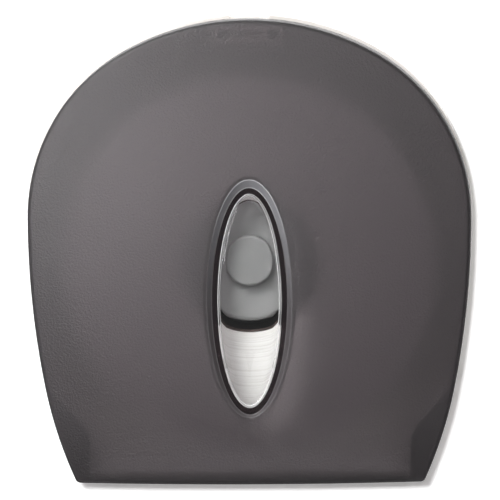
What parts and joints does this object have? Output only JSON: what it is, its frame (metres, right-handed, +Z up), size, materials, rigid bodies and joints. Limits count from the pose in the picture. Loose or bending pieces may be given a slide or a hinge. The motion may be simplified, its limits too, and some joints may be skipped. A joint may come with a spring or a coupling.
{
  "type": "toilet roll dispenser",
  "caption": "Wall dispenser for one jumbo toilet roll: smoked drop-down cover with an oval sight window, pale tray, turning hub, tear bar and push-button latch.",
  "frame": {"origin": "centre of the wall screw pattern on the wall face", "axes": "+Y into the wall, +Z up, +X to the right as seen from the front"},
  "size_m": [0.2706, 0.1363, 0.284],
  "materials": {
    "housing_plastic": "fine satin moulding, warm off-white",
    "smoked_plastic": "smoke grey, translucent, fine matte grain",
    "clear_plastic": "clear, polished",
    "grey_plastic": "smooth mid grey moulding",
    "black_plastic": "satin black",
    "zinc_steel": "zinc-plated",
    "bright_steel": "bright drawn steel",
    "core_board": "spiral-wound kraft board",
    "tissue_paper": "soft embossed tissue"
  },
  "bodies": {
    "housing": {"back_housing": "housing_plastic", "spindle_post": "grey_plastic", "spindle_screws": "zinc_steel", "axle_washer": "zinc_steel", "axle_screw": "zinc_steel", "hinge_pin_left": "bright_steel", "hinge_pin_right": "bright_steel", "button_spring": "bright_steel", "button_spring_screw": "zinc_steel"},
    "hub": {"core_hub": "grey_plastic", "hub_bush": "black_plastic", "hub_cap": "grey_plastic"},
    "roll": {"roll_core": "core_board", "paper_roll": "tissue_paper"},
    "cover": {"front_cover": "smoked_plastic", "window_lens": "clear_plastic", "tear_bar": "black_plastic", "tear_bar_rivets": "zinc_steel", "lock_case": "housing_plastic", "lock_case_screws": "zinc_steel", "latch_pivot_pin": "bright_steel", "latch_spring": "bright_steel"},
    "latch": {"latch_lever": "housing_plastic"},
    "button": {"release_button": "housing_plastic"}
  },
  "joints": [
    {"name": "cover_hinge", "type": "hinge", "parent": "housing", "child": "cover", "pos_m": [0, -0.085, -0.143], "axis": [1, 0, 0], "range_deg": [0, 120]},
    {"name": "roll_spin", "type": "hinge", "parent": "housing", "child": "roll", "pos_m": [0, -0.0625, -0.0161], "axis": [0, 1, 0], "continuous": true},
    {"name": "hub_spin", "type": "hinge", "parent": "housing", "child": "hub", "pos_m": [0, -0.0625, -0.0134], "axis": [0, 1, 0], "continuous": true},
    {"name": "button_press", "type": "slide", "parent": "housing", "child": "button", "axis": [0, 0, -1], "range_m": [0, 0.0033], "stiffness_N_per_m": 600, "springref_m": -0.002, "deforming": ["button_spring"]},
    {"name": "latch_pivot", "type": "hinge", "parent": "cover", "child": "latch", "pos_m": [0, -0.116, 0.12361], "axis": [1, 0, 0], "range_deg": [-6.3, 0], "stiffness_Nm_per_rad": 0.2, "springref_deg": 8.59, "deforming": ["latch_spring"]}
  ],
  "couplings": [
    {"joint": "hub_spin", "follows": "roll_spin", "ratio": 1.0811},
    {"joint": "latch_pivot", "follows": "button_press", "rad_per_m": -33}
  ]
}
